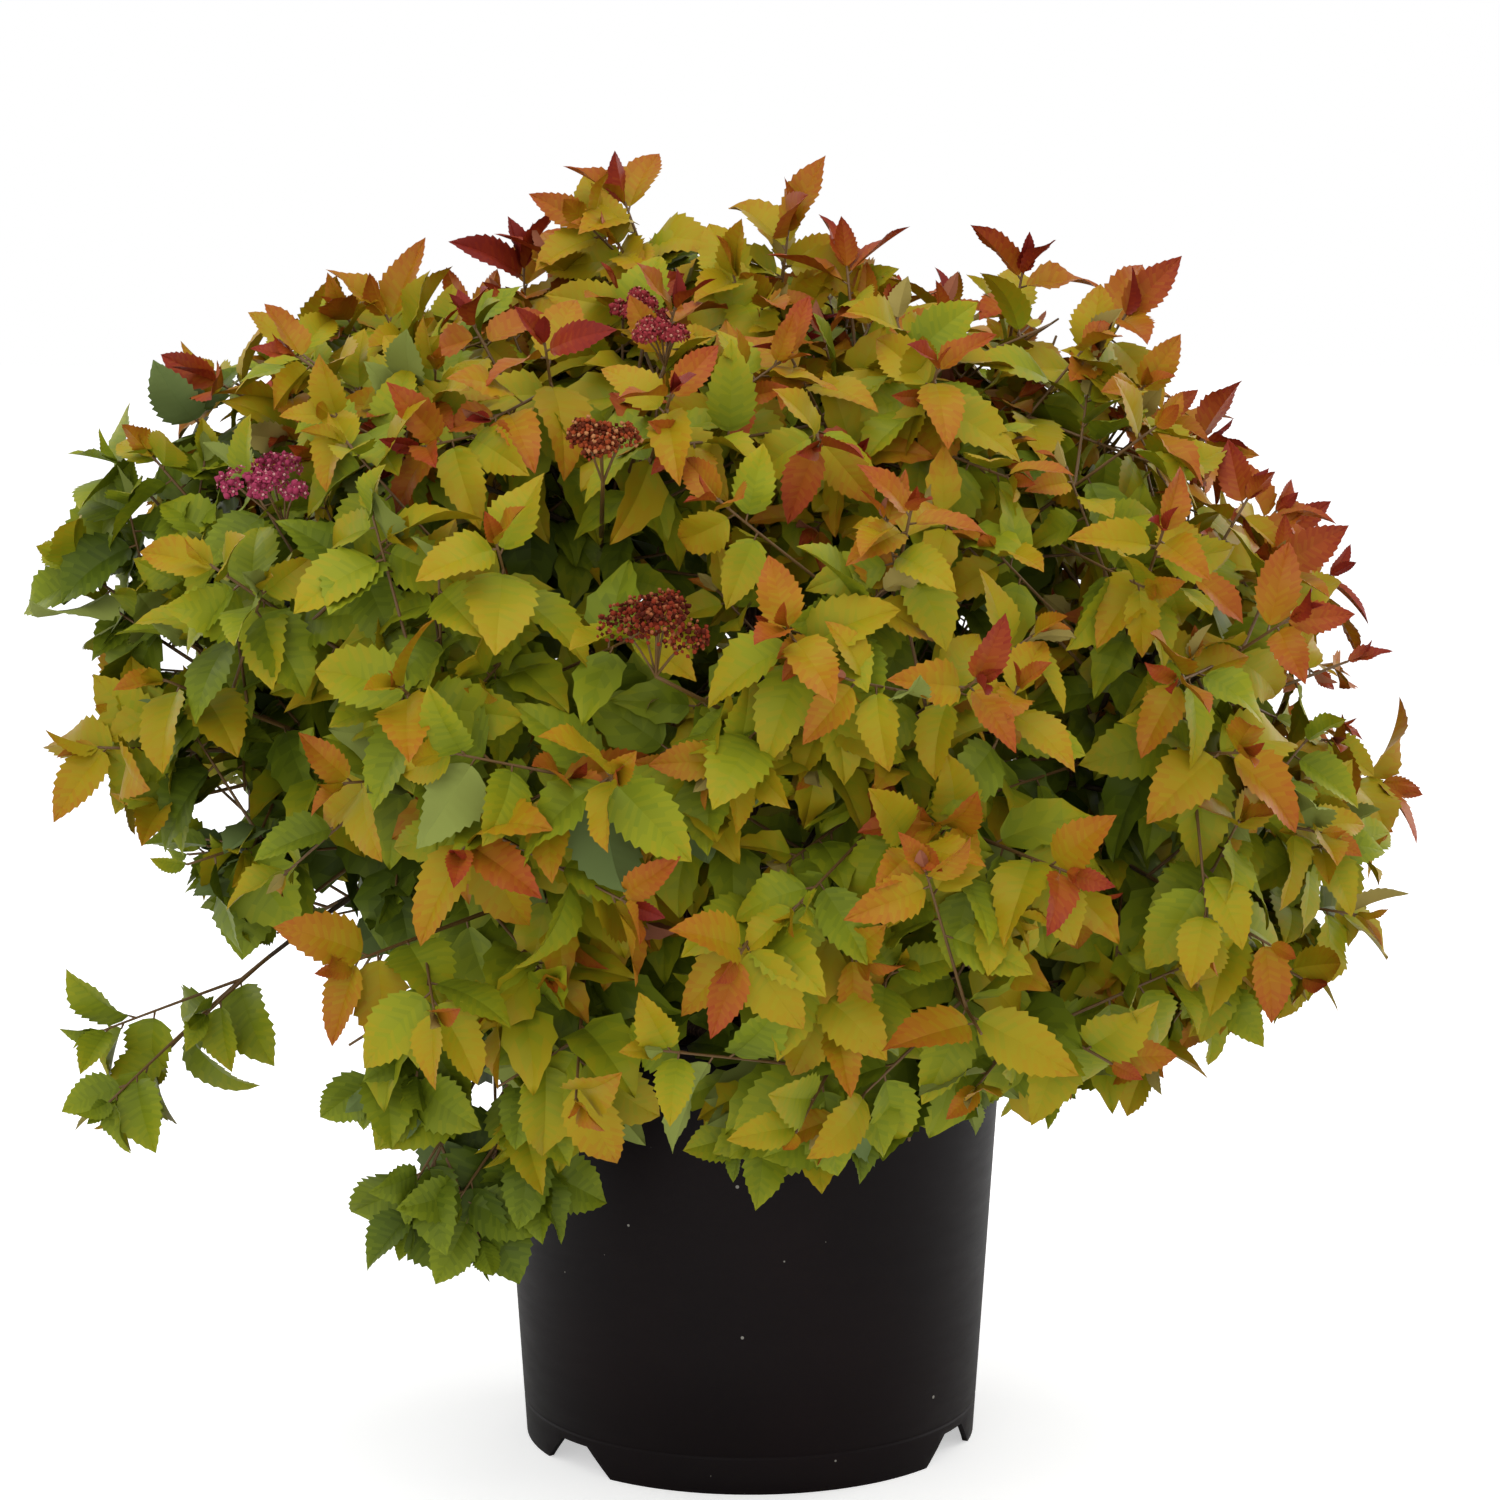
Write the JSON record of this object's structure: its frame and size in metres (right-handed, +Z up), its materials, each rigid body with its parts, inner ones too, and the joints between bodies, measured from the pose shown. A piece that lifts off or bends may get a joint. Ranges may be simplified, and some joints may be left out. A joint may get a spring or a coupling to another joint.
{
  "type": "potted spirea shrub",
  "caption": "Compact, rounded deciduous shrub with toothed red, orange and lime leaves on thin stems, standing in a black moulded nursery pot with drainage notches in its foot.",
  "frame": {"origin": "on the ground, at the middle of the whole plant's bounding box, which is within a few millimetres of the axis of the pot", "axes": "+Z up along the pot's axis; the side of the plant that faces the viewer is -Y and +X is to the viewer's right"},
  "size_m": [0.6129, 0.5813, 0.5629],
  "materials": {
    "pot": "smooth moulded black plastic with a slight sheen",
    "potting_mix": "moist ground bark and peat",
    "bark": "thin brown bark",
    "twig": "smooth reddish young bark",
    "red_leaves": "young leaf, slightly glossy",
    "orange_leaves": "matt leaf",
    "lime_leaves": "matt leaf",
    "green_leaves": "matt leaf",
    "blossom": "flat clusters of small pink to dark crimson flowers"
  },
  "bodies": {
    "root": {"pot": "pot", "potting_mix": "potting_mix", "stool": "bark", "stem_top": "bark", "stem_upper_1": "bark", "stem_upper_2": "bark", "stem_upper_3": "bark", "stem_upper_4": "bark", "stem_upper_5": "bark", "stem_side_1": "bark", "stem_side_2": "bark", "stem_side_3": "bark", "stem_side_4": "bark", "stem_side_5": "bark", "stem_side_6": "bark", "stem_side_7": "bark", "stem_side_8": "bark", "stem_skirt_1": "bark", "stem_skirt_2": "bark", "stem_skirt_3": "bark", "stem_skirt_4": "bark", "stem_skirt_5": "bark", "stem_skirt_6": "bark", "leaves_top": "red_leaves", "leaves_upper_1": "orange_leaves", "leaves_upper_2": "orange_leaves", "leaves_upper_3": "orange_leaves", "leaves_upper_4": "orange_leaves", "leaves_upper_5": "orange_leaves", "leaves_side_1": "lime_leaves", "leaves_side_2": "lime_leaves", "leaves_side_3": "lime_leaves", "leaves_side_4": "lime_leaves", "leaves_side_5": "lime_leaves", "leaves_side_6": "lime_leaves", "leaves_side_7": "lime_leaves", "leaves_side_8": "lime_leaves", "leaves_skirt_1": "green_leaves", "leaves_skirt_2": "green_leaves", "leaves_skirt_3": "green_leaves", "leaves_skirt_4": "green_leaves", "leaves_skirt_5": "green_leaves", "leaves_skirt_6": "green_leaves"}
  },
  "joints": []
}
